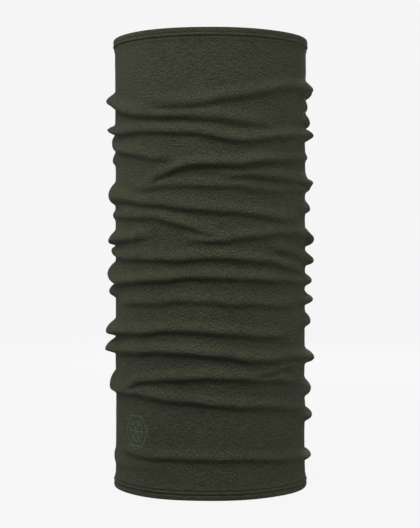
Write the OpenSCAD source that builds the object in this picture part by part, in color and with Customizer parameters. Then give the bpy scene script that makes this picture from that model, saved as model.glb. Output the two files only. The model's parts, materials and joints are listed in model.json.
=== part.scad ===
// Tubular neck gaiter of fine knitted cloth, gathered into soft rolls between two
// turned and coverstitched hems. Millimetres, +Z up, the bottom rim lies on z = 0.

/* [Tube] */
// Radius of the neck opening, measured inside the cloth
opening_r = 76; // [62:0.5:92]
// Height of the gathered tube, rim to rim
tube_h = 360; // [300:5:440]
// Thickness of one ply of the knitted cloth
cloth_t = 0.8; // [0.6:0.05:1]

/* [Gathers] */
// Number of soft rolls in the gathered length
fold_count = 16; // [8:1:20]
// How far the deepest roll stands out of the plain tube
fold_depth = 7.4; // [2:0.2:9]
// Plain cloth from the top rim down to the first roll
plain_top = 46; // [24:1:60]
// Middle of the low roll above the bottom rim
low_fold_z = 27; // [24:1:34]
// Height of the low roll
low_fold_h = 16; // [10:1:20]
// How far the low roll stands out of the plain tube
low_fold_depth = 3.7; // [1:0.1:6]

/* [Hems] */
// Depth of the cloth that is turned inside at each rim
hem_h = 9; // [8:0.25:12]
// Distance of the edge-side needle row from the rim
edge_row = 4.2; // [3:0.1:5.2]
// Distance between the two needle rows
row_gauge = 2.8; // [2:0.1:3.6]
// Space between the two plies of a hem, which holds the label's root
ply_gap = 0.3; // [0.25:0.05:0.5]
// Diameter of the sewing threads
thread_d = 0.4; // [0.3:0.05:0.5]
// How far a hem puffs out between its needle rows
hem_puff = 0.35; // [0:0.05:0.8]
// Width of the flat on the rim, where the fold rests
rim_flat = 0.5; // [0.3:0.05:0.7]

/* [Emblem] */
// Width of the six-sided emblem, corner to corner
emblem_w = 28; // [18:0.5:34]
// Plain cloth above and below the emblem, between the low roll and the others
emblem_margin = 3; // [1:0.5:10]
// Place of the emblem round the tube, in degrees from the front, negative towards -X
emblem_turn = -49; // [-80:1:80]
// Width of the emblem's printed lines
print_w = 1.3; // [0.8:0.1:2]
// Space between the snow crystal's tips and the border's corners
crystal_gap = 2.75; // [1:0.25:4]
// Thickness of the printed film
print_t = 0.15; // [0.1:0.05:0.3]

/* [Care label] */
// Width of the label ribbon
label_w = 18; // [12:1:30]
// Length of the free flap
label_l = 30; // [20:1:45]
// Length of the ribbon that is caught inside the hem
label_sewn = 7; // [4:0.5:7]
// Thickness of the label ribbon
label_t = 0.2; // [0.15:0.05:0.25]
// Space between the flap and the inside of the tube
label_clear = 0.35; // [0.3:0.05:1]

/* [Hidden] */
$fn = 180;

thread_r = thread_d / 2;
tube_r = opening_r + cloth_t;                       // outside of the plain tube
inner_ply_r = opening_r + cloth_t;                  // outside of the turned-in ply
outer_ply_r = inner_ply_r + ply_gap;                // inside of a hem's outer ply
hem_r = outer_ply_r + cloth_t;                      // outside of a hem
crest_r = inner_ply_r + ply_gap / 2;                // middle of a rim's fold
rim_round = hem_r - crest_r - rim_flat / 2;         // rounding of a rim's corners
body_row = edge_row + row_gauge;                    // body-side needle row, from the rim
groove_d = 0.75 * thread_d;                         // how deep a thread lies in the cloth
bed_clear = 0.08;                                   // between a thread and its bed's sides
groove_w = thread_d + 2 * bed_clear;                // width of a thread's bed
bed_slope = 0.25;                                   // run of the bed's sides
thread_clear = 0.01;                                // between a thread and its bed's floor
step_h = 3;                                         // height in which a hem steps in
looper_t = 0.3;                                     // thickness of the looper threads
looper_over = 0.6;                                  // looper threads past the edge-side row
looper_lo = edge_row - looper_over;
looper_clear = 0.02;                                // between looper threads and cloth

fold_steps = 8;                                     // straight pieces in one roll's outline
band_lo = low_fold_z + low_fold_h / 2;              // plain band round the emblem
emblem_h = emblem_w * cos(30);                      // flat to flat
emblem_z = band_lo + emblem_margin + emblem_h / 2;
gather_lo = band_lo + emblem_h + 2 * emblem_margin;
gather_hi = tube_h - plain_top;
fold_pitch = (gather_hi - gather_lo) / fold_count;

// Each roll has its own size, between 0.4 and 1 of the deepest.
function fold_size(i) = fold_depth * (0.7 + 0.3 * sin(i * 137.5));
function roll(share) = pow(sin(180 * share), 2);

// [height, bulge] along the cloth, from above the bottom hem to below the top hem.
low_roll = [
    for (k = [0 : fold_steps])
        [low_fold_z + low_fold_h * (k / fold_steps - 0.5), low_fold_depth * roll(k / fold_steps)]
];
rolls = [
    for (i = [0 : fold_count - 1], k = [(i == 0 ? 0 : 1) : fold_steps])
        [gather_lo + (i + k / fold_steps) * fold_pitch, fold_size(i) * roll(k / fold_steps)]
];
wave = concat(low_roll, rolls);

// Outline of a hem's outer face as [radius, distance from the rim], from the fold up.
rim_arc = [
    for (a = [-90 : 15 : 0])
        [crest_r + rim_flat / 2 + rim_round * cos(a), rim_round + rim_round * sin(a)]
];
function bed(h) = [
    [hem_r, h - groove_w / 2 - bed_slope], [hem_r - groove_d, h - groove_w / 2],
    [hem_r - groove_d, h + groove_w / 2], [hem_r, h + groove_w / 2 + bed_slope]
];
puff_lo = edge_row + groove_w / 2 + bed_slope;
puff_hi = body_row - groove_w / 2 - bed_slope;
puff_arc = [
    for (k = [1 : 5]) [hem_r + hem_puff * sin(30 * k), puff_lo + (puff_hi - puff_lo) * k / 6]
];
hem_outer = concat([[crest_r, 0]], rim_arc, bed(edge_row), puff_arc, bed(body_row),
                   [[tube_r, hem_h + step_h]]);
hem_inner = [[opening_r, hem_h + step_h], [outer_ply_r, hem_h], [outer_ply_r, cloth_t],
             [crest_r, cloth_t]];

function turned_over(points) = [for (p = points) [p[0], tube_h - p[1]]];
function backwards(points) = [for (i = [len(points) - 1 : -1 : 0]) points[i]];

// Puts children drawn for the bottom hem on the top hem.
module on_top_hem() {
    translate([0, 0, tube_h]) mirror([0, 0, 1]) children();
}

module tube_cloth() {
    outside = concat(hem_outer, [for (w = wave) [tube_r + w[1], w[0]]],
                     backwards(turned_over(hem_outer)));
    inside = concat(turned_over(backwards(hem_inner)),
                    [for (w = backwards(wave)) [opening_r + w[1], w[0]]], hem_inner);
    color([0.21, 0.22, 0.17]) rotate_extrude() polygon(concat(outside, inside));
}

// The ply that is turned inside, with a shallow bed for the looper threads.
module hem_turning() {
    arc = [
        for (a = [-90 : -15 : -180])
            [crest_r - rim_flat / 2 + rim_round * cos(a), rim_round + rim_round * sin(a)]
    ];
    color([0.24, 0.25, 0.19]) rotate_extrude() polygon(concat(
        [[crest_r, 0]], arc,
        [[opening_r, looper_lo], [opening_r + looper_t + looper_clear, looper_lo],
         [opening_r + looper_t + looper_clear, hem_h], [inner_ply_r, hem_h],
         [inner_ply_r, cloth_t], [crest_r, cloth_t]]));
}

module needle_thread(h) {
    color([0.17, 0.18, 0.13]) rotate_extrude()
        translate([hem_r - groove_d + thread_r + thread_clear, h]) circle(d = thread_d, $fn = 24);
}

module looper_thread() {
    color([0.30, 0.31, 0.24]) rotate_extrude()
        translate([opening_r, looper_lo + looper_clear])
            square([looper_t, hem_h - looper_lo - looper_clear]);
}

// Lays a flat drawing on the outside of the plain tube, as a thin film.
module on_tube(thickness) {
    intersection() {
        difference() {
            cylinder(r = tube_r + thickness, h = tube_h);
            translate([0, 0, -1]) cylinder(r = tube_r, h = tube_h + 2);
        }
        rotate([0, 0, emblem_turn]) translate([0, 0, emblem_z]) rotate([90, 0, 0])
            linear_extrude(tube_r + thickness + 1) children();
    }
}

module emblem_border() {
    color([0.27, 0.31, 0.20]) on_tube(print_t) difference() {
        circle(d = emblem_w, $fn = 6);
        circle(d = emblem_w - 2 * print_w / cos(30), $fn = 6);
    }
}

// A plain snow crystal of six arms that point into the border's corners, each arm with
// one pair of branches.
module emblem_crystal() {
    arm = emblem_w / 2 - print_w / cos(30) - crystal_gap;
    branch_at = 0.55 * arm;
    branch = 0.42 * arm;
    color([0.27, 0.31, 0.20]) on_tube(print_t)
        for (i = [0 : 5]) rotate(60 * i + 30) {
            translate([-print_w / 2, 0]) square([print_w, arm]);
            for (side = [-1, 1]) translate([0, branch_at]) rotate(side * 60)
                translate([-print_w / 2, 0]) square([print_w, branch]);
        }
}

// The label ribbon is caught between the plies of the top hem, at the back. Its root
// stays there, and its flap hangs from the bend line below the hem.
label_r = opening_r - label_clear;                  // outside of the flap
root_clear = (ply_gap - label_t) / 2;               // between the root and each ply
root_lo = hem_h - label_sewn;                       // root's sewn edge, from the rim
ply_edge_clear = 0.1;                               // between the root and the ply's raw edge
bend_h = hem_h + step_h + 1;                        // bend line's distance from the rim
bend_gap = 0.9;                                     // between the root and the flap
root_hi = bend_h - bend_gap;                        // root's lower edge, at the bend
root_lip = 0.6;                                     // straight end of the root
label_half_angle = asin(label_w / 2 / label_r);

module ribbon(outline) {
    rotate([0, 0, 90 - label_half_angle])
        rotate_extrude(angle = 2 * label_half_angle) polygon(outline);
}

module care_label_root() {
    root_r = inner_ply_r + root_clear;
    color([0.80, 0.80, 0.76]) on_top_hem() ribbon([
        [root_r, root_lo], [root_r + label_t, root_lo],
        [root_r + label_t, hem_h - ply_edge_clear], [label_r, root_hi - root_lip],
        [label_r, root_hi], [label_r - label_t, root_hi],
        [label_r - label_t, root_hi - root_lip], [root_r, hem_h + ply_edge_clear]
    ]);
}

module care_label_flap() {
    color([0.84, 0.84, 0.80]) on_top_hem() ribbon([
        [label_r - label_t, bend_h], [label_r, bend_h],
        [label_r, bend_h + label_l], [label_r - label_t, bend_h + label_l]
    ]);
}

tube_cloth();
on_top_hem() hem_turning();  // top_hem_turning
hem_turning();  // bottom_hem_turning
on_top_hem() needle_thread(edge_row);  // top_hem_edge_needle_thread
on_top_hem() needle_thread(body_row);  // top_hem_body_needle_thread
on_top_hem() looper_thread();  // top_hem_looper_thread
needle_thread(edge_row);  // bottom_hem_edge_needle_thread
needle_thread(body_row);  // bottom_hem_body_needle_thread
looper_thread();  // bottom_hem_looper_thread
emblem_border();
emblem_crystal();
care_label_root();
care_label_flap();
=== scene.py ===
import json
import math

import bpy
import numpy as np
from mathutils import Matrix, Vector, noise


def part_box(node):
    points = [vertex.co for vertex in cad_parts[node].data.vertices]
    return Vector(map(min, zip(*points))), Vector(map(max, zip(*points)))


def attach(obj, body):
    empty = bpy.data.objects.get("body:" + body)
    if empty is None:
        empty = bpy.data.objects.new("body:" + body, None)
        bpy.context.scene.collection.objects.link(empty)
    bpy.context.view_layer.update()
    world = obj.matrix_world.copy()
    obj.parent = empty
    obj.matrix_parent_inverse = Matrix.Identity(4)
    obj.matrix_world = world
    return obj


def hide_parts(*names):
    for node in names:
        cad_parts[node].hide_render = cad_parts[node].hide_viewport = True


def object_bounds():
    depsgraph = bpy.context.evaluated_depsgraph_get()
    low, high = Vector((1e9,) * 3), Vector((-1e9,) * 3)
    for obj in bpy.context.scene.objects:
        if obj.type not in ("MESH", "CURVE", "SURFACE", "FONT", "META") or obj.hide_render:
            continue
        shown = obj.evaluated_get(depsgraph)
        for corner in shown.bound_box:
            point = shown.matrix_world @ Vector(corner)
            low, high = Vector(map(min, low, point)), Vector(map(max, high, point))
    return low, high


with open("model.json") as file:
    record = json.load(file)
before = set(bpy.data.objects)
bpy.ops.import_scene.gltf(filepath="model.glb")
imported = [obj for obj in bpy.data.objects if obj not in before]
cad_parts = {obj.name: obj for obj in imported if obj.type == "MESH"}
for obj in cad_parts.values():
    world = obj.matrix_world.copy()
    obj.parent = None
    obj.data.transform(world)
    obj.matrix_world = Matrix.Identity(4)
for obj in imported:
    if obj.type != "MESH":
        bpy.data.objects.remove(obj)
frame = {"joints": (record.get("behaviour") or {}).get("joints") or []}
cadLow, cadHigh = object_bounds()
mm = 0.001


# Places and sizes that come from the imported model.
def ringOf(node):
    low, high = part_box(node)
    return {"radius": (high.x - low.x) / 2, "middle": (high.z + low.z) / 2, "high": high.z}


tubeHeight = cadHigh.z - cadLow.z
edgeRow = ringOf("bottom_hem_edge_needle_thread")["middle"] - cadLow.z
bodyRow = ringOf("bottom_hem_body_needle_thread")["middle"] - cadLow.z
hemDepth = ringOf("bottom_hem_turning")["high"] - cadLow.z
emblemLow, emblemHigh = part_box("emblem_border")
flapLow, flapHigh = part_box("care_label_flap")
clothThickness = 0.8 * mm
plainRadius = ringOf("bottom_hem_turning")["radius"]
mouthRadius = plainRadius - clothThickness

cameraSet = {"distance": 1.108, "height": 0.193, "tiltDown": 0.70, "turn": 0.013, "lens": 92.8}
bpy.ops.object.camera_add(
    location=(0, -cameraSet["distance"], cameraSet["height"]),
    rotation=(math.radians(90 - cameraSet["tiltDown"]), 0, math.radians(cameraSet["turn"])),
)
camera = bpy.context.object
camera.data.lens = cameraSet["lens"]
camera.data.sensor_width = 36
bpy.context.scene.camera = camera


def deselectAll():
    if bpy.context.object and bpy.context.object.mode != "OBJECT":
        bpy.ops.object.mode_set(mode="OBJECT")
    bpy.ops.object.select_all(action="DESELECT")


def only(piece):
    deselectAll()
    piece.select_set(True)
    bpy.context.view_layer.objects.active = piece


def finishWith(piece, kind, **settings):
    only(piece)
    modifier = piece.modifiers.new(kind.title(), kind)
    for name, value in settings.items():
        setattr(modifier, name, value)
    bpy.ops.object.modifier_apply(modifier=modifier.name)


def placeInMesh(piece):
    only(piece)
    bpy.ops.object.transform_apply(location=True, rotation=True, scale=True)


# Makes a sheet's faces agree, and turns them over if they look away from the direction
# that is asked for at each face.
def faceAlong(piece, direction):
    only(piece)
    bpy.ops.object.mode_set(mode="EDIT")
    bpy.ops.mesh.select_all(action="SELECT")
    bpy.ops.mesh.normals_make_consistent(inside=False)
    bpy.ops.object.mode_set(mode="OBJECT")
    if sum(face.normal.dot(direction(face)) for face in piece.data.polygons) < 0:
        bpy.ops.object.mode_set(mode="EDIT")
        bpy.ops.mesh.select_all(action="SELECT")
        bpy.ops.mesh.flip_normals()
        bpy.ops.object.mode_set(mode="OBJECT")


# From 0 to 1 with level ends.
def eased(share):
    share = min(max(share, 0), 1)
    return share * share * (3 - 2 * share)


# A smooth curve through points (x, y), with level ends, read at many x.
def smoothCurve(points, at):
    px = np.array([p[0] for p in points], float)
    py = np.array([p[1] for p in points], float)
    slopes = np.diff(py) / np.diff(px)
    tangents = np.zeros(len(px))
    for i in range(1, len(px) - 1):
        before, after = slopes[i - 1], slopes[i]
        if before * after > 0:
            tangents[i] = 2 * before * after / (before + after)
    x = np.clip(at, px[0], px[-1])
    k = np.clip(np.searchsorted(px, x, side="right") - 1, 0, len(px) - 2)
    span = px[k + 1] - px[k]
    t = (x - px[k]) / span
    return (
        (2 * t**3 - 3 * t**2 + 1) * py[k]
        + (t**3 - 2 * t**2 + t) * span * tangents[k]
        + (3 * t**2 - 2 * t**3) * py[k + 1]
        + (t**3 - t**2) * span * tangents[k + 1]
    )


tube = {
    "columns": 192,
    "rows": 252,
    "lean": 0.12,  # how far a roll hangs down, as a share of how far it stands out
    "tuck": 0.1,  # how much of a roll's lower side lies below its crease line
    "valley": 1.7,  # millimetres above and below a crease where the cloth is drawn in
    "drop": 1.8,  # millimetres the creases sink, away from the two sides
    "lift": 1.3,  # millimetres the lower creases rise
    "front": 0.71,  # how far the rolls stand out at the front, as a share
    "calm": 0.3,  # how much shallower the rolls are 60 degrees round to the right
    "fullness": 0.62,  # below 1 a roll's lower side is rounder
    "sideRoundness": 0.4,  # the same for both sides of a roll at the tube's two sides
    "waves": 0.35,  # millimetres of slow unevenness
    "wrinkles": 0.22,  # millimetres of small wrinkles along the rolls
    "tightness": 2.6,  # how much closer the rows lie where the cloth bends
    "creaseWaves": (0.35, 0.22),  # millimetres a crease wanders, slowly and quickly
    "carved": 0.8,  # how much of its height a roll loses right at a crease
    "samples": 1100,  # heights at which the cloth's outside is worked out
    "coarseSamples": 170,  # heights at which its unevenness is worked out
}
# How the plain tube narrows below and widens above, as (height, distance out) in millimetres.
taper = [(26, -0.4), (70, -0.4), (100, -0.1), (250, 0)]

# Each roll runs round the tube as (degrees from the front, height of its crease, how far
# it stands out), in millimetres, and where given its reach down to the crease and its reach
# up from the crest. Past 180 degrees it goes on round the back.
rolls = {
    "collar": [(-48, 303, 0), (-30, 301, 3), (-15, 300.6, 4), (0, 302.3, 4.6), (15, 305.6, 4.8),
               (30, 309.8, 4.8), (45, 314, 5), (60, 316, 5.6), (74, 316, 6), (86, 315.5, 6.5, 5.5, 5),
               (130, 312, 6), (180, 309, 5.5), (230, 308, 6.2), (274, 307.5, 6.7, 5.5, 5),
               (286, 303.5, 7), (300, 297.6, 6.2), (315, 294, 5.8), (330, 291.4, 5.6), (345, 291, 5.2),
               (360, 289.7, 4.6), (375, 287, 4), (390, 286, 2.6), (404, 285.5, 0)],
    "collarTuck": [(62, 303, 0), (86, 303.5, 1.8, 3, 5), (120, 300, 3), (150, 297, 2.5), (185, 296, 0)],
    "upper": [(56, 291, 0), (86, 290.5, 4.4, 3.5, 7), (130, 288, 4.5), (180, 286, 5), (230, 285.5, 5.6),
              (274, 285.8, 6.5, 2.8, 3.2), (284, 283.2, 6, 3.6, 5), (300, 281.5, 5.2), (330, 280.5, 5),
              (345, 279.3, 5), (360, 276.2, 5.2), (375, 273, 5.2), (390, 274.2, 5.2), (405, 277.1, 5.2),
              (420, 279, 5.6), (436, 281, 6.4, 4, 5), (446, 281.8, 8, 2.8, 3), (490, 277, 5), (540, 274, 5),
              (590, 272.5, 4), (634, 273, 2.6, 5, 6), (645, 269, 3.6), (660, 266.4, 4.2), (675, 262.3, 4.2),
              (690, 259, 3.2), (703, 258.8, 0)],
    "deepArc": [(-42, 243, 0), (-30, 246.6, 4), (-22, 249.8, 5.8), (-15, 252.2, 6.8), (-7, 254.1, 7.2),
                (0, 254.6, 7.2), (15, 254.7, 6.8), (30, 256.9, 6.2), (45, 258.3, 5.2), (60, 259.5, 4),
                (86, 263, 1.8, 3, 4), (130, 261, 3.5), (180, 259.5, 4.5), (230, 258.5, 4),
                (274, 259, 2.6, 4, 6), (294, 259, 0)],
    "rightShort": [(2, 246.4, 0), (15, 245.8, 3.2), (30, 245.4, 4.2), (45, 244.9, 4.2), (60, 243.9, 4),
                   (75, 243, 3.2), (92, 242.5, 0)],
    "middleHelix": [(-58, 237, 0), (-45, 237, 2.2), (-30, 237.4, 3.2), (-15, 238.2, 3.4), (0, 238, 3.4),
                    (15, 237, 3), (30, 234.6, 2.2), (45, 233.6, 2.6), (60, 234.5, 2.8, 8, 6),
                    (86, 237, 5.6, 9, 3.2), (130, 234, 5), (180, 232, 5), (230, 230, 5),
                    (274, 227, 6, 8.5, 10), (286, 228, 5.4, 7, 9), (294, 228, 5, 6, 8), (315, 225.6, 4.8),
                    (330, 223.3, 4.8), (345, 220.4, 4.8), (360, 219, 4.8), (375, 216.7, 4.4),
                    (390, 215.1, 4.2), (405, 212.8, 3.6), (418, 212, 2), (428, 212, 0)],
    "leftDiagonal": [(62, 220, 0), (86, 219.5, 4.2, 4.5, 6), (130, 217, 4), (180, 216, 4), (230, 215, 3),
                     (274, 214.8, 2, 4, 4), (294, 214.4, 3.2), (315, 214, 4.4), (330, 212, 4.4),
                     (345, 206.7, 4.4), (353, 204.2, 3.6), (360, 202.2, 2), (366, 201.5, 0)],
    "waist": [(-18, 197.2, 0), (-8, 195.8, 2.8), (0, 195, 4.4), (8, 195, 4.8), (15, 197.3, 4.8),
              (30, 199.3, 4.2), (45, 200.6, 4), (60, 201, 4.2), (75, 199.5, 5.4), (86, 192.5, 7.6, 7.5, 5),
              (130, 194, 6), (180, 193, 6), (230, 193.5, 6), (274, 194.4, 6.6, 3.2, 8), (285, 195.2, 6.2),
              (300, 196.3, 5.6), (315, 197.7, 4), (323, 198.2, 2), (330, 199, 0)],
    "waistUnder": [(33, 188.8, 0), (40, 188.2, 3), (45, 187.9, 3.6), (52, 186.7, 3.6), (60, 184.9, 3.8),
                   (72, 181, 5), (86, 177, 7.4, 5.4, 5.6), (130, 181, 6), (180, 184, 5), (230, 186, 4),
                   (274, 187, 3.4, 4, 3), (285, 184, 4.2), (300, 182.2, 4.4), (315, 181, 4.8),
                   (345, 181.2, 5.2), (360, 182, 5.6), (368, 182.4, 5.6), (375, 181.5, 5.6),
                   (390, 179.6, 5.2), (405, 176.3, 4.8), (420, 172.9, 4.2), (430, 170.5, 2), (440, 169, 0)],
    "belly": [(-86, 165, 7.2, 6.5, 9), (-75, 163, 6.8), (-60, 162.6, 6.2), (-45, 163.9, 6.2),
              (-30, 165.5, 6.2), (-15, 167, 6.2), (0, 167.4, 5.8), (15, 166.9, 5.2), (30, 165, 4.8),
              (45, 164.1, 4.2), (60, 163.3, 4.5), (86, 161, 5.7, 5, 5), (130, 160, 6), (180, 161, 6),
              (230, 163, 6.5), (274, 165, 7.2, 6.5, 9)],
    "shallow": [(-72, 146, 0), (-60, 146, 2.2), (-45, 146.8, 3.2), (-30, 147.7, 3.4), (-15, 149.2, 3.4),
                (0, 148.8, 3.4), (15, 146.9, 3.4), (30, 146, 3.4), (45, 145.1, 3.2), (60, 145.5, 3.2),
                (86, 146.5, 6.5, 4.5, 4), (130, 149, 5.5), (180, 150, 5), (230, 151, 5),
                (274, 152, 4.9, 5, 6), (291, 151, 0)],
    "finLeft": [(60, 128.5, 0), (86, 128, 4.9, 5, 7), (130, 126, 5.5), (180, 123.5, 6), (230, 121.5, 7),
                (274, 121.4, 8.2, 3.2, 9), (285, 122.2, 7), (300, 123.2, 6.2), (315, 124.2, 5.8),
                (330, 126, 5.8), (345, 126.8, 5.8), (360, 126, 5.2), (375, 123.7, 4.6), (390, 121.9, 4.2),
                (400, 121.5, 3.6), (412, 122, 1.8), (424, 123, 0)],
    "girdle": [(-86, 108, 8.2, 3.2, 8), (-75, 107.4, 7.2), (-60, 108.3, 6.4), (-45, 109.3, 6.2),
               (-30, 109.9, 6.2), (-15, 110.2, 6.2), (0, 108.6, 6.2), (8, 107, 6.2), (15, 105.5, 6.2),
               (22, 104.2, 6.2), (30, 103.6, 6.2), (45, 104, 5.6), (60, 104.5, 5.2), (75, 102, 6),
               (86, 98.5, 7.4, 6, 5), (130, 102, 6), (180, 105, 6), (230, 107, 7),
               (274, 108, 8.2, 3.2, 8)],
    "rightTuck": [(24, 94.5, 0), (34, 95.2, 2.6), (45, 96.6, 4), (56, 98.8, 4.4), (64, 100.8, 4),
                  (71, 102, 2.6), (80, 103, 0)],
    "arch": [(-62, 82.5, 0), (-52, 84.2, 3.2), (-45, 85.9, 4.6), (-30, 88.8, 5.4), (-15, 90.6, 5.8),
             (0, 90.9, 5.8), (15, 90.5, 5.8), (30, 88.9, 5.2), (45, 86.7, 4.6), (60, 84.3, 3.6),
             (70, 82.4, 2), (80, 81, 0)],
    "lowHelix": [(62, 74, 0), (86, 72, 5.7, 5.8, 8.2), (130, 74, 6), (180, 75.5, 6), (230, 75.5, 5.6),
                 (274, 75, 5.4, 5.5, 12), (285, 76, 5.6), (300, 76.7, 5.6), (315, 76.2, 5.6),
                 (330, 74.6, 5.6), (345, 72.9, 5.4), (360, 71, 5.2), (375, 69.2, 4.8), (390, 67.7, 4.4),
                 (405, 65.7, 4), (420, 62.9, 3.4), (436, 61, 1.8), (450, 61, 0)],
    "lowRight": [(58, 54, 0), (86, 52, 5.7, 5.4, 5.6), (130, 54, 5), (180, 56, 4), (222, 57, 0)],
    "hemRoll": [(-66, 32, 0), (-58, 30.5, 2.4), (-45, 28.9, 3.2), (-30, 28.8, 3.6), (-15, 29.3, 3.8),
                (0, 29.4, 3.8), (15, 28.7, 3.8), (30, 27.5, 3.8), (45, 25.6, 3.8), (60, 23.6, 3.8),
                (86, 21, 5.7, 3.7, 3.3), (130, 21, 5), (180, 20, 4.5), (230, 19, 3), (274, 18.5, 1.4),
                (300, 17.7, 1.7), (315, 19.4, 1.4), (330, 21.7, 0.9), (342, 22.5, 0)],
}
reach = {"down": 4.7, "up": 7.2}  # millimetres, for rolls and places with none of their own
reaches = {
    "collar": {"down": 5.5, "up": 8},
    "rightTuck": {"down": 4, "up": 5},
    "hemRoll": {"down": 4.4, "up": 6.5},
}

# The hem's outer face as (distance from the rim, distance outside the plain tube).
hemFace = [(1.0, 1.2), (1.6, 1.32), (2.3, 1.36), (3.0, 1.28), (3.5, 1.1), (3.85, 0.8), (4.05, 0.45),
           (4.2, 0.38), (4.35, 0.45), (4.55, 0.85), (4.9, 1.2), (5.25, 1.42), (5.6, 1.5), (6.0, 1.42),
           (6.35, 1.2), (6.65, 0.8), (6.85, 0.26), (7.0, 0.12), (7.15, 0.18), (7.4, 0.5), (7.8, 0.72),
           (8.4, 0.68), (9.2, 0.5), (10.2, 0.25), (11.3, 0.08), (12.6, 0.02), (14, 0)]
grooveShare = {"bottom": 1.0, "top": 0.45}  # depth of the edge-side groove, as a share
hemEnd = 14 * mm
rimRound = 1.0 * mm
flare = 0.4 * mm  # how much wider the top hem is
crestOut = 0.15 * mm  # how far the crest of a rim's fold lies outside the plain tube
grooveTop = 1.4  # millimetres that the cloth beside the edge-side groove stands out
topWander = 0.4  # share of the wander that the top rim's height keeps


# How much the rims wander up and down at an angle, above zero at the bottom rim.
def rimWander(angle):
    return (0.25 + 0.16 * np.sin(3 * angle + 1) + 0.09 * np.sin(7 * angle + 2.4)) * mm


# How much a hem stands in and out at an angle.
def hemSwell(angle):
    return 0.12 * mm * np.sin(5 * angle + 0.7)


# How far a hem's row is lifted by the rim's wander, which fades out above the hem.
def hemLift(angle, fromRim):
    return rimWander(angle) * (1 - fromRim / hemEnd)


# How far a hem's row stands out with its swell, which starts at the rim.
def rowSwell(angle, fromRim):
    return hemSwell(angle) * np.clip(fromRim / (3 * mm), 0, 1)


# The height of a row at a distance from its rim.
def rowHeight(fromRim, atTop):
    return cadHigh.z - fromRim if atTop else cadLow.z + fromRim


# Smooth unevenness at a direction round the tube and a height, from -1 to 1.
def unevenness(angles, heights, roundScale, heightScale, seed):
    values = np.zeros((len(angles), len(heights)))
    for i, angle in enumerate(angles):
        x, y = math.sin(angle) * roundScale, math.cos(angle) * roundScale
        for j, height in enumerate(heights):
            values[i, j] = noise.noise(Vector((x + seed, y, height * heightScale)))
    return values


# How far the body of the tube stands out from a plain tube, in millimetres.
def gathers(angles, heights):
    out = np.zeros((len(angles), len(heights)))
    valley = np.zeros_like(out)
    degrees = np.degrees(angles)
    facing = np.abs(np.cos(angles))
    under = np.interp(facing, [0.1, 0.5], [tube["sideRoundness"], tube["fullness"]])[:, None]
    over = np.interp(facing, [0.1, 0.5], [tube["sideRoundness"], 1])[:, None]
    calm = 1 - tube["calm"] * np.exp(-(((degrees - 60) / 17) ** 2))
    slow, quick = tube["creaseWaves"]
    for number, (name, path) in enumerate(rolls.items()):
        usual = reaches.get(name, reach)
        for turn in (-360, 0, 360, 720):
            at = degrees + turn
            inside = (at >= path[0][0]) & (at < path[-1][0])
            if not inside.any():
                continue
            crease = smoothCurve([(p[0], p[1]) for p in path], at)
            crease = crease + slow * np.sin(angles * 9 + number) + quick * np.sin(angles * 17 + 2 * number)
            crease = crease - tube["drop"] * np.clip(facing / 0.35, 0, 1)
            crease = crease + tube["lift"] * np.clip((270 - crease) / 70, 0, 1)
            size = smoothCurve([(p[0], p[2]) for p in path], at)
            uneven = 0.07 * np.sin(angles * 11 + 3 * number)
            size = size * (1 + uneven + 0.04 * np.sin(angles * 23 + number))
            size = np.where(inside, np.maximum(size, 0), 0) * calm
            downs = [(p[0], p[3] if len(p) > 3 else usual["down"]) for p in path]
            ups = [(p[0], p[4] if len(p) > 4 else usual["up"]) for p in path]
            down, up = smoothCurve(downs, at), smoothCurve(ups, at)
            above = heights[None, :] - crease[:, None]
            rising = np.clip(above / down[:, None] * (1 - tube["tuck"]) + tube["tuck"], 0, 1)
            falling = np.clip((above - down[:, None]) / up[:, None], 0, 1)
            profile = (0.5 - 0.5 * np.cos(rising * math.pi)) ** under
            out += size[:, None] * profile * (0.5 + 0.5 * np.cos(falling * math.pi)) ** over
            depth = np.clip(size / 3, 0, 1)[:, None] * np.exp(-(((above + 0.5) / tube["valley"]) ** 2))
            valley = np.maximum(valley, depth)
    flatness = np.interp(facing, [0.1, 0.5], [1, tube["front"]])[:, None]
    return out * (1 - tube["carved"] * valley) * flatness


# The outside of the tube for every column: heights and radii.
def clothColumns(angles, samples):
    heights = np.linspace(hemEnd / mm, (tubeHeight - hemEnd) / mm, samples)
    out = gathers(angles, heights)
    coarse = np.linspace(heights[0], heights[-1], tube["coarseSamples"])
    slow = unevenness(angles, coarse, 2.3, 0.045, 3.1)
    small = unevenness(angles, coarse, 5.5, 0.2, 11.7)
    # Both fade out towards the hems.
    fade = np.clip(np.minimum(heights - heights[0], heights[-1] - heights) / 12, 0, 1)
    for i in range(len(angles)):
        uneven = tube["waves"] * slow[i] + tube["wrinkles"] * small[i]
        out[i] += np.interp(heights, coarse, uneven) * fade
    out += smoothCurve([(heights[0], 0), *taper, (heights[-1], flare / mm)], heights)
    hang = tube["lean"] * np.maximum(out, 0)
    radius = plainRadius + out * mm
    height = cadLow.z + (heights[None, :] - hang) * mm
    return height, radius


# How far a hem's face stands out at each of its rows, in millimetres.
def hemOut(place):
    shallow = 1 - grooveShare[place]
    return [d + shallow * (grooveTop - d) if 3.3 < h < 5.2 else d for h, d in hemFace]


def hemColumns(angles, place):
    turn = np.linspace(0, math.pi / 2, 6)[:-1]
    crest = plainRadius + crestOut
    bulge = plainRadius + hemFace[0][1] * mm - crest
    arc = [(rimRound * (1 - math.cos(a)), crest + bulge * math.sin(a)) for a in turn]
    face = [(h * mm, plainRadius + d * mm) for (h, _), d in zip(hemFace, hemOut(place))]
    fromRim = np.array([p[0] for p in arc + face])
    radius = np.array([p[1] for p in arc + face])
    at, fromRim = angles[:, None], fromRim[None, :]
    return fromRim + hemLift(at, fromRim), radius[None, :] + rowSwell(at, fromRim)


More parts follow.
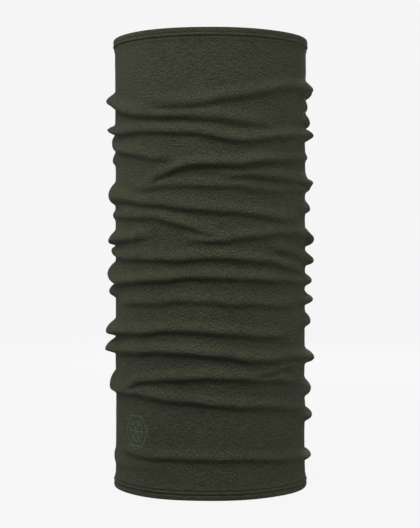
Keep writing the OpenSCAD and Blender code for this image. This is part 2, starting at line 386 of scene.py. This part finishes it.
# Rows lie evenly along the cloth, and closer where it bends.
def placeRows(angles):
    height, radius = clothColumns(angles, tube["samples"])
    step = np.hypot(np.diff(height, axis=1), np.diff(radius, axis=1))
    heading = np.unwrap(np.arctan2(np.diff(radius, axis=1), np.diff(height, axis=1)), axis=1)
    change = np.abs(np.diff(heading, axis=1, prepend=heading[:, :1]))
    bend = change / np.maximum(step, 1e-7) * 3 * mm
    weight = 1 + tube["tightness"] * np.minimum(bend, 1.2)
    blur = np.ones(15) / 15
    weight = np.array([np.convolve(np.pad(line, 7, "edge"), blur, "valid") for line in weight])
    weight = sum(np.roll(weight, k, axis=0) for k in range(-3, 4)) / 7
    lowHeight, lowRadius = hemColumns(angles, "bottom")
    topRadius = hemColumns(angles, "top")[1][:, ::-1] + flare
    bodyRows = tube["rows"] - 2 * (lowHeight.shape[1] - 1)
    topHeight = cadHigh.z - lowHeight[:, ::-1] + rimWander(angles)[:, None] * topWander
    places = []
    for i in range(len(angles)):
        share = np.concatenate([[0], np.cumsum(step[i] * weight[i])])
        rowsAt = np.linspace(0, share[-1], bodyRows)[1:-1]
        bodyHeight = np.interp(rowsAt, share, height[i])
        bodyRadius = np.interp(rowsAt, share, radius[i])
        z = np.concatenate([cadLow.z + lowHeight[i], bodyHeight, topHeight[i]])
        r = np.concatenate([lowRadius[i], bodyRadius, topRadius[i]])
        places.append(np.stack([z, r], axis=1))
    return np.array(places)


# A flat grid is laid out as the cut cloth, then rolled up into a closed tube.
def rolledCloth(name, angles, places, clothWidth):
    columns, rows = len(angles), places.shape[1]
    deselectAll()
    bpy.ops.mesh.primitive_grid_add(x_subdivisions=columns, y_subdivisions=rows - 1, size=2)
    piece = bpy.context.object
    piece.name = name
    mesh = piece.data
    flat = np.zeros(len(mesh.vertices) * 3)
    mesh.vertices.foreach_get("co", flat)
    flat = flat.reshape(-1, 3)
    column = np.rint((flat[:, 0] + 1) / 2 * columns).astype(int)
    row = np.rint((flat[:, 1] + 1) / 2 * (rows - 1)).astype(int)
    along = np.hypot(np.diff(places[:, :, 0], axis=1), np.diff(places[:, :, 1], axis=1))
    length = np.concatenate([np.zeros((columns, 1)), np.cumsum(along, axis=1)], axis=1)
    clothLength = length[:, -1].mean()
    length = length / length[:, -1:] * clothLength
    angle = angles[column % columns]
    z, r = places[column % columns, row, 0], places[column % columns, row, 1]
    spots = np.stack([r * np.sin(angle), -r * np.cos(angle), z], axis=1)
    mesh.vertices.foreach_set("co", spots.ravel())
    corner = np.zeros(len(mesh.loops), int)
    mesh.loops.foreach_get("vertex_index", corner)
    across = column[corner] / columns * clothWidth
    mesh.uv_layers.active.data.foreach_set(
        "uv", np.stack([across, length[column % columns, row][corner]], axis=1).ravel()
    )
    mesh.update()
    only(piece)
    bpy.ops.object.mode_set(mode="EDIT")
    bpy.ops.mesh.select_all(action="SELECT")
    bpy.ops.mesh.remove_doubles(threshold=1e-6)
    bpy.ops.mesh.normals_make_consistent(inside=False)
    bpy.ops.object.mode_set(mode="OBJECT")
    bpy.ops.object.shade_smooth()
    return piece, clothLength


angles = (np.arange(tube["columns"]) / tube["columns"] * 2 - 1) * math.pi
places = placeRows(angles)
clothWidth = 2 * math.pi * plainRadius
tubeCloth, clothLength = rolledCloth("tube_cloth_knit", angles, places, clothWidth)
finishWith(tubeCloth, "SOLIDIFY", thickness=clothThickness, offset=-1, use_rim=True)
print(f"tube cloth: {len(tubeCloth.data.polygons)} faces, cut {clothWidth:.3f} by {clothLength:.3f} m")


turning = {"rows": 16, "curl": 0.35, "ragged": 0.3}


# The ply turned inside a rim: round its fold, then up to a raw edge.
def turningColumns(angles, atTop):
    turn = np.linspace(0, math.pi / 2, 6)
    crest = plainRadius + crestOut
    inset = crest - mouthRadius
    arc = [(rimRound * (1 - math.cos(a)), crest - inset * math.sin(a)) for a in turn]
    up = np.linspace(rimRound, hemDepth, turning["rows"] - len(arc) + 1)[1:]
    curl = turning["curl"] * mm * np.clip((up - 0.75 * hemDepth) / (0.25 * hemDepth), 0, 1) ** 2
    fromRim = np.array([p[0] for p in arc] + list(up))
    radius = np.array([p[1] for p in arc] + list(mouthRadius - curl))
    frayed = np.sin(41 * angles + 1.3) * np.sin(13 * angles) + np.sin(67 * angles)
    raw = turning["ragged"] * mm * frayed / 2
    at, fromRim = angles[:, None], fromRim[None, :]
    edge = raw[:, None] * np.clip(fromRim / hemDepth, 0, 1) ** 4
    rise = fromRim + hemLift(at, fromRim) + edge
    inward = radius[None, :] + rowSwell(at, fromRim) + (flare if atTop else 0)
    if atTop:
        height = cadHigh.z - rise + rimWander(at) * topWander
        return np.stack([height, inward], axis=2)[:, ::-1]
    return np.stack([cadLow.z + rise, inward], axis=2)


turnings = {}
for place, atTop in (("bottom", False), ("top", True)):
    plies = turningColumns(angles, atTop)
    piece, _ = rolledCloth(place + "_hem_turned_ply", angles, plies, clothWidth)
    # The seen side of this ply is the one nearer the axis.
    faceAlong(piece, lambda face: -Vector((*face.center.xy, 0)))
    finishWith(piece, "SOLIDIFY", thickness=clothThickness, offset=-1, use_rim=True)
    turnings[place] = piece
print("turned plies made")

# Lengths in millimetres.
stitch = {"count": 190, "length": 2.15, "thickness": 0.42, "dip": 0.32, "sunk": 0.12}


# Moves what was made for an even ring so that it follows the wandering rim.
def followRim(piece, atTop):
    points = np.zeros(len(piece.data.vertices) * 3)
    piece.data.vertices.foreach_get("co", points)
    points = points.reshape(-1, 3)
    angle = np.arctan2(points[:, 0], -points[:, 1])
    radius = np.hypot(points[:, 0], points[:, 1])
    fromRim = cadHigh.z - points[:, 2] if atTop else points[:, 2] - cadLow.z
    lift = hemLift(angle, fromRim)
    points[:, 2] += (topWander * rimWander(angle) - lift) if atTop else lift
    grown = radius + rowSwell(angle, fromRim) + (flare if atTop else 0)
    points[:, 0] *= grown / radius
    points[:, 1] *= grown / radius
    piece.data.vertices.foreach_set("co", points.ravel())
    piece.data.update()


def roundTheTube(piece, count):
    deselectAll()
    bpy.ops.object.empty_add(rotation=(0, 0, 2 * math.pi / count))
    turner = bpy.context.object
    finishWith(
        piece, "ARRAY", count=count, use_relative_offset=False,
        use_object_offset=True, offset_object=turner,
    )
    bpy.data.objects.remove(turner)


# One row of stitches: a grain of thread that dips into the cloth at both ends.
def stitchRow(name, fromRim, radius, atTop):
    deselectAll()
    bpy.ops.mesh.primitive_uv_sphere_add(
        segments=6, ring_count=6, radius=0.5, rotation=(0, math.pi / 2, 0)
    )
    piece = bpy.context.object
    piece.name = name
    placeInMesh(piece)
    only(piece)
    bpy.ops.object.mode_set(mode="EDIT")
    bpy.ops.mesh.select_all(action="SELECT")
    length, thickness = stitch["length"] * mm, stitch["thickness"] * mm
    bpy.ops.transform.resize(value=(length, thickness, thickness))
    bpy.ops.object.mode_set(mode="OBJECT")
    half = length / 2
    z = rowHeight(fromRim, atTop)
    for v in piece.data.vertices:
        share = v.co.x / half
        v.co.y += stitch["dip"] * mm * share**4 - radius + stitch["sunk"] * mm
        v.co.z += z
    roundTheTube(piece, stitch["count"])
    followRim(piece, atTop)
    only(piece)
    bpy.ops.object.shade_smooth()
    return piece


grooveFloor = {"edge": 0.42, "body": 0.17}  # millimetres outside the plain tube
needleRows = {}
for place, atTop in (("bottom", False), ("top", True)):
    for row, fromRim in (("edge", edgeRow), ("body", bodyRow)):
        name = f"{place}_hem_{row}_needle_stitches"
        node = f"{place}_hem_{row}_needle_thread"
        shallow = (1 - grooveShare[place]) * (grooveTop - grooveFloor[row]) if row == "edge" else 0
        surface = plainRadius + (grooveFloor[row] + shallow + stitch["thickness"] / 2) * mm
        needleRows[node] = stitchRow(name, fromRim, surface, atTop)
print("needle stitches made")

looper = {"thickness": 0.3}


# The covering thread inside a hem, swinging from one needle row to the other.
def looperRing(name, atTop):
    deselectAll()
    bpy.ops.curve.primitive_nurbs_path_add()
    piece = bpy.context.object
    piece.name = name
    curve = piece.data
    curve.dimensions = "3D"
    curve.splines.clear()
    # One swing: (share of a stitch along, share of the way across), and how far it is raised.
    swing = [(0.0, 0.0), (0.1, -0.1), (0.22, 0.02), (0.36, 0.3), (0.5, 0.75), (0.62, 1.0), (0.74, 1.1),
             (0.84, 0.98), (0.8, 0.84), (0.86, 0.55), (0.94, 0.2)]
    raised = [0.0, 0.1, 0.05, 0.0, 0.0, 0.0, 0.1, 0.12, 0.0, 0.08, 0.12]
    spline = curve.splines.new("POLY")
    count = stitch["count"]
    spline.points.add(count * len(swing) - 1)
    for i in range(count):
        for j, (along, across) in enumerate(swing):
            angle = (i + along) / count * 2 * math.pi
            fromRim = edgeRow + (bodyRow - edgeRow) * across
            radius = mouthRadius - (looper["thickness"] / 2 + raised[j]) * mm
            x, y = radius * math.sin(angle), -radius * math.cos(angle)
            z = rowHeight(fromRim, atTop)
            spline.points[i * len(swing) + j].co = (x, y, z, 1)
    spline.use_cyclic_u = True
    curve.bevel_depth = looper["thickness"] / 2 * mm
    curve.bevel_resolution = 1
    curve.use_fill_caps = False
    only(piece)
    bpy.ops.object.convert(target="MESH")
    piece = bpy.context.object
    placeInMesh(piece)
    followRim(piece, atTop)
    only(piece)
    bpy.ops.object.shade_smooth()
    return piece


loopers = {}
for place, atTop in (("bottom", False), ("top", True)):
    loopers[place] = looperRing(place + "_hem_looper_stitches", atTop)
print("looper threads made")

emblem = {"line": 0.95, "film": 0.12, "lift": 0.03, "gap": 2.75}  # millimetres
emblemMiddle = (emblemLow + emblemHigh) / 2
emblemTurn = math.atan2(emblemMiddle.x, -emblemMiddle.y)
emblemHeight = emblemMiddle.z
emblemTall = emblemHigh.z - emblemLow.z
emblemWide = emblemTall / math.cos(math.radians(30))


# Wraps a flat drawing (x, y) round the tube at the emblem's place and lays it on the cloth.
def layOnCloth(piece):
    for v in piece.data.vertices:
        angle = emblemTurn + v.co.x / plainRadius
        outward = Vector((math.sin(angle), -math.cos(angle), 0))
        start = outward * plainRadius * 2 + Vector((0, 0, emblemHeight + v.co.y))
        spot = tubeCloth.ray_cast(start, -outward)[1]
        v.co = spot + outward * emblem["lift"] * mm
    piece.data.update()
    faceAlong(piece, lambda face: Vector((math.sin(emblemTurn), -math.cos(emblemTurn), 0)))
    finishWith(piece, "SOLIDIFY", thickness=emblem["film"] * mm, offset=1)
    only(piece)
    bpy.ops.object.shade_smooth_by_angle(angle=math.radians(40))


def emblemBorder():
    sides, steps = 6, 12
    deselectAll()
    bpy.ops.mesh.primitive_circle_add(
        vertices=sides * steps, radius=emblemWide / 2, fill_type="NOTHING"
    )
    piece = bpy.context.object
    piece.name = "emblem_border_print"
    # The circle's points go onto the straight sides of a hexagon with a level top.
    for v in piece.data.vertices:
        angle = math.atan2(v.co.x, v.co.y)
        fromMiddle = (angle + math.radians(30)) % math.radians(60) - math.radians(30)
        away = emblemTall / 2 / math.cos(fromMiddle)
        v.co = (away * math.sin(angle), away * math.cos(angle), 0)
    only(piece)
    bpy.ops.object.mode_set(mode="EDIT")
    bpy.ops.mesh.select_all(action="SELECT")
    # The line is drawn inwards in two steps, with a row of points along its middle.
    inner = 1 - emblem["line"] * mm / (emblemTall / 2)
    halfway = (1 + inner) / 2
    for ratio in (halfway, inner / halfway):
        bpy.ops.mesh.extrude_edges_move(TRANSFORM_OT_translate={"value": (0, 0, 0)})
        bpy.ops.transform.resize(value=(ratio, ratio, 1), center_override=(0, 0, 0))
    bpy.ops.object.mode_set(mode="OBJECT")
    layOnCloth(piece)
    return piece


# A plain snow crystal: six arms into the corners, each with a pair of branches.
def emblemCrystal():
    half = emblem["line"] / 2 * mm
    arm = emblemWide / 2 - emblem["line"] * mm / math.cos(math.radians(30)) - emblem["gap"] * mm
    branchAt, branch = 0.55 * arm, 0.42 * arm
    sine, cosine = math.sin(math.radians(60)), 0.5
    side = [
        (half, 1.732 * half),
        (half, branchAt - 0.577 * half),
        (sine * branch + cosine * half, branchAt + cosine * branch - sine * half),
        (sine * branch - cosine * half, branchAt + cosine * branch + sine * half),
        (half, branchAt + 1.732 * half),
        (half, arm),
    ]
    armPoints = side + [(-x, y) for x, y in side[::-1]][:-1]
    points = []
    for k in range(6):
        turn = math.radians(60 * k + 30)
        c, s = math.cos(turn), math.sin(turn)
        points += [(x * c + y * s, y * c - x * s) for x, y in armPoints[::-1]]
    deselectAll()
    bpy.ops.mesh.primitive_circle_add(vertices=len(points), radius=arm, fill_type="NGON")
    piece = bpy.context.object
    piece.name = "emblem_crystal_print"
    for v, (x, y) in zip(piece.data.vertices, points):
        v.co = (x, y, 0)
    only(piece)
    bpy.ops.object.mode_set(mode="EDIT")
    bpy.ops.mesh.select_all(action="SELECT")
    bpy.ops.mesh.quads_convert_to_tris(ngon_method="CLIP")
    bpy.ops.mesh.subdivide(number_cuts=3)
    bpy.ops.object.mode_set(mode="OBJECT")
    layOnCloth(piece)
    return piece


border, crystal = emblemBorder(), emblemCrystal()
print("emblem made")

label = {
    "thickness": 0.2, "columns": 12, "rows": 24, "rootRows": 18,
    "curl": 1.6, "ripple": 0.25, "clear": 0.55,
    "gap": 0.15,  # millimetres between the root and the plies
    "straight": 4,  # millimetres from the bend line in which the ribbon straightens across
}
labelWidth = flapHigh.x - flapLow.x
bendHeight = flapHigh.z
flapLength = flapHigh.z - flapLow.z
bendY = frame["joints"][0]["pos_m"][1]


# A strip of ribbon inside the back of the tube. spots gives (height, inset) down its length,
# and loose is how much its far end ripples.
def ribbonStrip(name, columns, spots, loose):
    rows = len(spots) - 1
    deselectAll()
    bpy.ops.mesh.primitive_grid_add(x_subdivisions=columns, y_subdivisions=rows, size=2)
    piece = bpy.context.object
    piece.name = name
    mesh = piece.data
    uv = mesh.uv_layers.active.data
    length = sum(math.dist(a, b) for a, b in zip(spots, spots[1:]))
    for loop in mesh.loops:
        u, v = uv[loop.index].uv
        uv[loop.index].uv = (u * labelWidth, v * length)
    for v in mesh.vertices:
        row = round((v.co.y + 1) / 2 * rows)
        height, inset = spots[row]
        x = v.co.x * labelWidth / 2
        down = loose * row / rows
        ripple = label["ripple"] * mm * math.sin(x / labelWidth * 5 + down * 4) * down
        radius = mouthRadius - inset - ripple
        curved = math.sqrt(max(radius**2 - x**2, 0))
        near = eased(1 - abs(height - bendHeight) / (label["straight"] * mm))
        v.co = (x, curved + (bendY - curved) * near, height + 0.15 * mm * math.sin(x * 500) * down)
    faceAlong(piece, lambda face: Vector((0, -1, 0)))
    finishWith(piece, "SOLIDIFY", thickness=label["thickness"] * mm, offset=0)
    finishWith(piece, "BEVEL", width=0.04 * mm, segments=2, limit_method="ANGLE")
    only(piece)
    bpy.ops.object.shade_smooth_by_angle(angle=math.radians(50))
    return piece


flapSpots = []
for row in range(label["rows"] + 1):
    down = row / label["rows"]
    inset = (label["clear"] + label["curl"] * down**2.5) * mm
    flapSpots.append((bendHeight - flapLength * down, inset))
flap = ribbonStrip("care_label_free_flap", label["columns"], flapSpots, 1)

rootSpots = []
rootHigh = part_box("care_label_root")[1]
betweenPlies = -(clothThickness + label["gap"] * mm)
for row in range(label["rootRows"] + 1):
    down = row / label["rootRows"]
    height = rootHigh.z + (bendHeight - rootHigh.z) * down
    outOfHem = (cadHigh.z - hemDepth - height) / (cadHigh.z - hemDepth - bendHeight)
    inset = betweenPlies + (label["clear"] * mm - betweenPlies) * eased(outOfHem)
    rootSpots.append((height, inset))
root = ribbonStrip("care_label_sewn_root", label["columns"], rootSpots, 0)
print("care label made")


# Wraps an output socket, so that shader maths reads as plain expressions.
class Signal:
    def __init__(self, finish, socket):
        self.finish, self.socket = finish, socket

    def maths(self, operation, first, second=None):
        given = {0: first} if second is None else {0: first, 1: second}
        return self.finish.node("ShaderNodeMath", {"operation": operation}, given)

    def __add__(self, other):
        return self.maths("ADD", self, other)

    def __sub__(self, other):
        return self.maths("SUBTRACT", self, other)

    def __rsub__(self, other):
        return self.maths("SUBTRACT", other, self)

    def __mul__(self, other):
        return self.maths("MULTIPLY", self, other)

    def __truediv__(self, other):
        return self.maths("DIVIDE", self, other)

    def __pow__(self, other):
        return self.maths("POWER", self, other)

    def __abs__(self):
        return self.maths("ABSOLUTE", self)

    __radd__ = __add__
    __rmul__ = __mul__

    def fraction(self):
        return self.maths("FRACT", self)

    def cosine(self):
        return self.maths("COSINE", self)

    def limited(self, low, high):
        return self.maths("MINIMUM", self.maths("MAXIMUM", self, low), high)


# A node material under construction.
class Finish:
    def __init__(self, name):
        self.material = bpy.data.materials.new(name)
        self.material.use_nodes = True
        self.tree = self.material.node_tree
        self.tree.nodes.clear()

    def node(self, kind, settings=None, sockets=None, output=0):
        made = self.tree.nodes.new(kind)
        for key, value in (settings or {}).items():
            if key == "stops":
                ramp = made.color_ramp
                while len(ramp.elements) < len(value):
                    ramp.elements.new(0.5)
                for element, (position, colour) in zip(ramp.elements, value):
                    element.position, element.color = position, (*colour, 1)
            else:
                setattr(made, key, value)
        for key, value in (sockets or {}).items():
            if isinstance(value, Signal):
                self.tree.links.new(value.socket, made.inputs[key])
            else:
                made.inputs[key].default_value = value
        return Signal(self, made.outputs[output])

    def place(self, source="UV"):
        return self.node("ShaderNodeTexCoord", output=source)

    def split(self, vector):
        made = self.node("ShaderNodeSeparateXYZ", sockets={0: vector})
        outputs = made.socket.node.outputs
        return [Signal(self, outputs[i]) for i in range(3)]

    def join(self, x, y, z=0.0):
        return self.node("ShaderNodeCombineXYZ", sockets={0: x, 1: y, 2: z})

    def noise(self, vector, scale, detail=2.0, roughness=0.5):
        return self.node(
            "ShaderNodeTexNoise", {"noise_dimensions": "3D"},
            {"Vector": vector, "Scale": scale, "Detail": detail, "Roughness": roughness},
        )

    def mixed(self, factor, first, second):
        sockets = {0: factor, 6: (*first, 1), 7: (*second, 1)}
        return self.node("ShaderNodeMix", {"data_type": "RGBA"}, sockets, output=2)

    def bump(self, height, distance, strength):
        sockets = {"Height": height, "Distance": distance, "Strength": strength}
        return self.node("ShaderNodeBump", {}, sockets)

    def surface(self, **sockets):
        spaced = {name.replace("_", " "): value for name, value in sockets.items()}
        shader = self.node("ShaderNodeBsdfPrincipled", {}, spaced)
        end = self.tree.nodes.new("ShaderNodeOutputMaterial")
        self.tree.links.new(shader.socket, end.inputs["Surface"])
        return self.material


knit = {
    "wale": 0.9, "course": 0.66,  # millimetres
    "dark": (0.0150, 0.0162, 0.0089),
    "middle": (0.0372, 0.0402, 0.0240),
    "light": (0.0850, 0.0912, 0.0576),
    "depth": 0.16,  # millimetres
    "sheen": 0.06,
}


# Fine jersey: V-shaped stitches in wales, streaked with lighter and darker fibres.
def knitFinish(name):
    f = Finish(name)
    u, v, _ = f.split(f.place("UV"))
    across = u / (knit["wale"] * mm)
    fromMiddle = abs(across.fraction() - 0.5) * 2
    along = v / (knit["course"] * mm) - fromMiddle * 0.85
    leg = 1 - (fromMiddle * 2 - 1) ** 2
    stitches = (0.5 + 0.5 * (along * (2 * math.pi)).cosine()) * leg
    streaks = f.noise(f.join(u * 130, v * 850), 1.0, 2.0, 0.55)
    flecks = f.noise(f.join(u * 1750, v * 680), 1.0, 1.0, 0.5)
    fibres = f.noise(f.join(u * 900, v * 5200), 1.0, 2.0, 0.6)
    wales = f.noise(f.join(u * 1100, v * 90), 1.0, 2.0, 0.55)
    patches = f.noise(f.join(u * 24, v * 40), 1.0, 3.0, 0.5)
    tone = (streaks - 0.5) * 0.7 + (flecks - 0.5) * 2.2 + (fibres - 0.5) * 0.7
    tone = tone + (wales - 0.5) * 0.3 + (patches - 0.5) * 0.25
    tone = (tone + stitches * 0.22 + 0.43).limited(0, 1)
    stops = [(0.0, knit["dark"]), (0.5, knit["middle"]), (1.0, knit["light"])]
    colour = f.node("ShaderNodeValToRGB", {"stops": stops}, {0: tone})
    fuzz = f.noise(f.join(u * 4200, v * 4200), 1.0, 3.0, 0.7)
    height = stitches * 0.8 + fuzz * 0.35 + (streaks - 0.5) * 0.3
    roughness = (0.86 + fuzz * 0.12).limited(0, 1)
    return f.surface(
        Base_Color=colour, Roughness=roughness, Normal=f.bump(height, knit["depth"] * mm, 0.8),
        Specular_IOR_Level=0.12, Sheen_Weight=knit["sheen"], Sheen_Roughness=0.55,
        Sheen_Tint=(0.78, 0.8, 0.66, 1.0),
    )


# Twisted polyester sewing thread.
def threadFinish(name, dark, light):
    f = Finish(name)
    x, y, z = f.split(f.place("Object"))
    twist = f.node(
        "ShaderNodeTexWave", {"wave_type": "BANDS", "bands_direction": "DIAGONAL"},
        {"Vector": f.join(x, y, z), "Scale": 2400.0, "Distortion": 1.2, "Detail": 2.0, "Detail Scale": 3.0},
    )
    fibres = f.noise(f.join(x, y, z), 5200.0, 2.0, 0.6)
    tone = (twist * 0.65 + fibres * 0.35).limited(0, 1)
    colour = f.mixed(tone, dark, light)
    return f.surface(Base_Color=colour, Roughness=(0.5 + fibres * 0.3).limited(0, 1),
                     Normal=f.bump(tone, 0.00005, 0.7), Specular_IOR_Level=0.35,
                     Sheen_Weight=0.2, Sheen_Roughness=0.5)


# Thin matte transfer film, worn a little where the knit stands up under it.
def printFinish(name):
    f = Finish(name)
    place = f.place("Object")
    grain = f.noise(place, 2600.0, 3.0, 0.6)
    worn = f.noise(place, 420.0, 4.0, 0.65)
    tone = (0.5 + (grain - 0.5) * 0.9 + (worn - 0.5) * 0.8).limited(0, 1)
    colour = f.mixed(tone, (0.035, 0.052, 0.018), (0.064, 0.086, 0.033))
    return f.surface(Base_Color=colour, Roughness=(0.5 + worn * 0.25).limited(0, 1),
                     Normal=f.bump(grain * 0.7 + worn * 0.3, 0.00006, 0.6), Specular_IOR_Level=0.4)


# Woven satin ribbon: fine floats along its length, with a firmer edge.
def satinFinish(name):
    f = Finish(name)
    u, v, _ = f.split(f.place("UV"))
    floats = 0.5 + 0.5 * ((u / (0.16 * mm)) * (2 * math.pi)).cosine()
    picks = 0.5 + 0.5 * ((v / (0.9 * mm) + u / (0.5 * mm)) * (2 * math.pi)).cosine()
    slubs = f.noise(f.join(u * 3000, v * 120), 1.0, 2.0, 0.5)
    patches = f.noise(f.join(u * 60, v * 60), 1.0, 3.0, 0.5)
    tone = 0.35 + floats * 0.25 + picks * 0.12 + (slubs - 0.5) * 0.5 + (patches - 0.5) * 0.3
    tone = tone.limited(0, 1)
    colour = f.mixed(tone, (0.50, 0.50, 0.45), (0.72, 0.72, 0.67))
    return f.surface(Base_Color=colour, Roughness=(0.32 + slubs * 0.25).limited(0, 1),
                     Normal=f.bump(floats * 0.5 + picks * 0.4, 0.00004, 0.6), Specular_IOR_Level=0.5,
                     Anisotropic=0.5, Sheen_Weight=0.15, Sheen_Roughness=0.4)


knitCloth = knitFinish("heathered wool jersey")
needleThread = threadFinish("dark olive needle thread", (0.010, 0.011, 0.007), (0.030, 0.032, 0.021))
looperThread = threadFinish("olive looper thread", (0.030, 0.032, 0.021), (0.075, 0.078, 0.054))
printFilm = printFinish("olive transfer print")
satin = satinFinish("off-white satin ribbon")


def wear(piece, material, slotName, body, *nodes):
    piece.data.materials.clear()
    piece.data.materials.append(material)
    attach(piece, body)
    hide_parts(*nodes)


wear(tubeCloth, knitCloth, "knit_cloth", "tube", "tube_cloth")
for place, piece in turnings.items():
    wear(piece, knitCloth, "knit_cloth", "tube", place + "_hem_turning")
for node, piece in needleRows.items():
    wear(piece, needleThread, "sewing_thread", "tube", node)
for place, piece in loopers.items():
    wear(piece, looperThread, "sewing_thread", "tube", place + "_hem_looper_thread")
wear(border, printFilm, "print_film", "tube", "emblem_border")
wear(crystal, printFilm, "print_film", "tube", "emblem_crystal")
wear(root, satin, "label_satin", "tube", "care_label_root")
wear(flap, satin, "label_satin", "label_flap", "care_label_flap")

studio = {"floor": 60.0, "glow": 0.908, "tone": 0.915, "fill": 0.25, "under": 0.05}
# Each lamp as (place, watts, size).
lamps = {
    "key": ((-0.3, -0.72, 1.0), 10.2, 0.8),
    "left": ((-1.5, -0.5, 0.55), 6.2, 0.8),
    "right": ((1.5, -0.6, 0.35), 11.5, 0.8),
    "back": ((0.2, 1.4, 0.9), 24.0, 0.9),
}


# A pale floor that glows evenly, so that only a faint shadow shows on it.
def floorFinish():
    f = Finish("pale studio floor")
    grain = f.noise(f.place("Object"), 35.0, 4.0, 0.5)
    colour = f.mixed(grain, (0.013, 0.013, 0.013), (0.017, 0.017, 0.017))
    return f.surface(Base_Color=colour, Roughness=0.9, Specular_IOR_Level=0.0,
                     Emission_Color=(1, 1, 1, 1), Emission_Strength=studio["glow"])


deselectAll()
bpy.ops.mesh.primitive_circle_add(
    vertices=64, radius=studio["floor"], fill_type="NGON", location=(0, 0, cadLow.z)
)
floor = bpy.context.object
floor.name = "studio_floor"
placeInMesh(floor)
floor.data.materials.append(floorFinish())
floor.visible_diffuse = False

world = bpy.data.worlds.new("studio")
bpy.context.scene.world = world
world.use_nodes = True
tree = world.node_tree
tree.nodes.clear()
seen = tree.nodes.new("ShaderNodeBackground")
lit = tree.nodes.new("ShaderNodeBackground")
level = studio["tone"]
seen.inputs["Color"].default_value = (level, level, level, 1)
direction = tree.nodes.new("ShaderNodeTexCoord")
apart = tree.nodes.new("ShaderNodeSeparateXYZ")
tree.links.new(direction.outputs["Generated"], apart.inputs[0])
upness = tree.nodes.new("ShaderNodeMapRange")
upness.inputs["From Min"].default_value = -0.3
upness.inputs["From Max"].default_value = 0.6
upness.inputs["To Min"].default_value = studio["under"]
upness.inputs["To Max"].default_value = studio["fill"]
tree.links.new(apart.outputs["Z"], upness.inputs["Value"])
tree.links.new(upness.outputs[0], lit.inputs["Strength"])
lit.inputs["Color"].default_value = (1, 1, 1, 1)
ray = tree.nodes.new("ShaderNodeLightPath")
either = tree.nodes.new("ShaderNodeMixShader")
tree.links.new(ray.outputs["Is Camera Ray"], either.inputs[0])
tree.links.new(lit.outputs[0], either.inputs[1])
tree.links.new(seen.outputs[0], either.inputs[2])
tree.links.new(either.outputs[0], tree.nodes.new("ShaderNodeOutputWorld").inputs["Surface"])


def softLight(place, target, power, size):
    deselectAll()
    bpy.ops.object.light_add(type="AREA", location=place)
    lamp = bpy.context.object
    lamp.rotation_euler = (Vector(place) - Vector(target)).to_track_quat("Z", "Y").to_euler()
    lamp.data.energy = power
    lamp.data.size = size
    lamp.visible_camera = False


middle = (0, 0, (cadLow.z + cadHigh.z) / 2)
for place, power, size in lamps.values():
    softLight(place, middle, power, size)
bpy.context.scene.view_settings.view_transform = "Standard"
